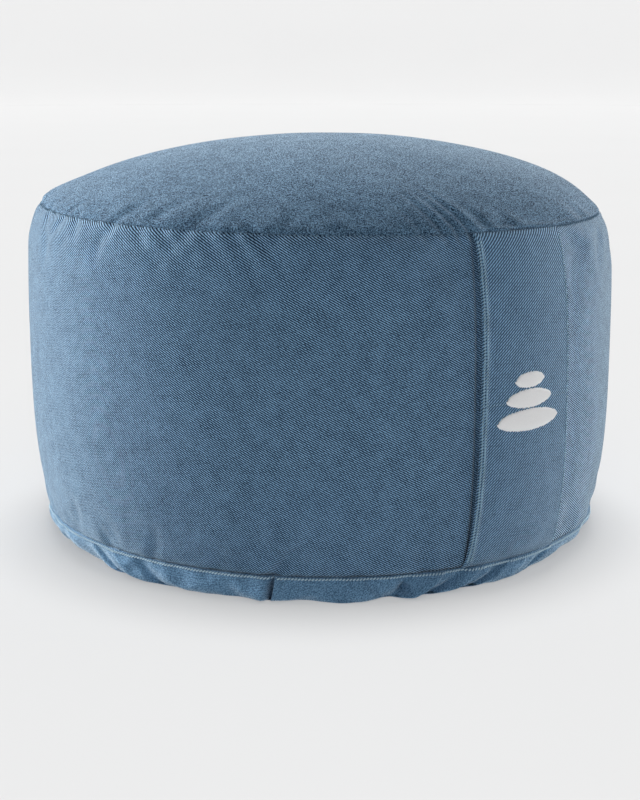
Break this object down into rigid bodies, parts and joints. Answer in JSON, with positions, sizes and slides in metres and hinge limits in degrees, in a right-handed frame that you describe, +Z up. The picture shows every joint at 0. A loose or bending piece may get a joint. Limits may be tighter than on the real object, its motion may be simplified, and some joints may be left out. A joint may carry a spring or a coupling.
{
  "type": "floor cushion",
  "caption": "Tall round floor cushion with a zipped twill cover, a husk-filled inner case and a wide carrying strap on its side.",
  "frame": {"origin": "on the cushion's axis, at the floor it stands on", "axes": "+Z up along the cushion's axis, -Y towards the carrying strap, +Y towards the cover's zip, +X to the right as seen facing the strap"},
  "size_m": [0.33, 0.3338, 0.2201],
  "materials": {
    "denim_twill": "medium-blue cotton twill, washed",
    "blue_thread": "pale blue topstitching thread",
    "embroidery_thread": "white satin-stitch thread",
    "zip_tape": "woven polyester tape",
    "nylon_coil": "moulded nylon coil",
    "nickel": "nickel plate",
    "calico": "unbleached cotton",
    "calico_nylon": "nylon coil",
    "husks": "loose grain husks",
    "label_tape": "blank satin tape"
  },
  "bodies": {
    "cushion": {"cover_top_panel": "denim_twill", "cover_side_panel": "denim_twill", "cover_bottom_panel": "denim_twill", "bottom_seam_topstitch_left": "blue_thread", "bottom_seam_topstitch_right": "blue_thread", "zip_topstitch_upper": "blue_thread", "zip_topstitch_lower": "blue_thread", "care_label": "label_tape", "cover_zip_tape_upper": "zip_tape", "cover_zip_tape_lower": "zip_tape", "cover_zip_coil_upper": "nylon_coil", "cover_zip_coil_lower": "nylon_coil", "cover_zip_top_stop_upper": "nickel", "cover_zip_top_stop_lower": "nickel", "cover_zip_bottom_stop": "nickel", "inner_top_panel": "calico", "inner_side_panel": "calico", "inner_bottom_back": "calico", "inner_bottom_front": "calico", "inner_zip_tape_back": "calico", "inner_zip_tape_front": "calico", "inner_zip_coil_back": "calico_nylon", "inner_zip_coil_front": "calico_nylon", "inner_zip_stop_closed": "nickel", "inner_zip_stop_open": "nickel", "husk_filling": "husks"},
    "handle": {"handle_strap": "denim_twill", "handle_topstitch_left": "blue_thread", "handle_topstitch_right": "blue_thread", "emblem_stone_lower": "embroidery_thread", "emblem_stone_middle": "embroidery_thread", "emblem_stone_upper": "embroidery_thread"},
    "cover_zip_slider": {"cover_zip_slider": "nickel"},
    "cover_zip_tab": {"cover_zip_pull_tab": "nickel"},
    "inner_zip_slider": {"inner_zip_slider": "nickel"}
  },
  "joints": [
    {"name": "handle_lift", "type": "slide", "parent": "cushion", "child": "handle", "axis": [0, -1, 0], "range_m": [0, 0.02], "stiffness_N_per_m": 200},
    {"name": "cover_zip_slide", "type": "hinge", "parent": "cushion", "child": "cover_zip_slider", "pos_m": [0, 0, 0.015], "axis": [0, 0, 1], "range_deg": [0, 100]},
    {"name": "cover_zip_tab_swing", "type": "hinge", "parent": "cover_zip_slider", "child": "cover_zip_tab", "pos_m": [0.12326, 0.10342, 0.015], "axis": [0, 0, 1], "range_deg": [0, 170]},
    {"name": "inner_zip_slide", "type": "slide", "parent": "cushion", "child": "inner_zip_slider", "axis": [1, 0, 0], "range_m": [-0.22, 0]}
  ]
}
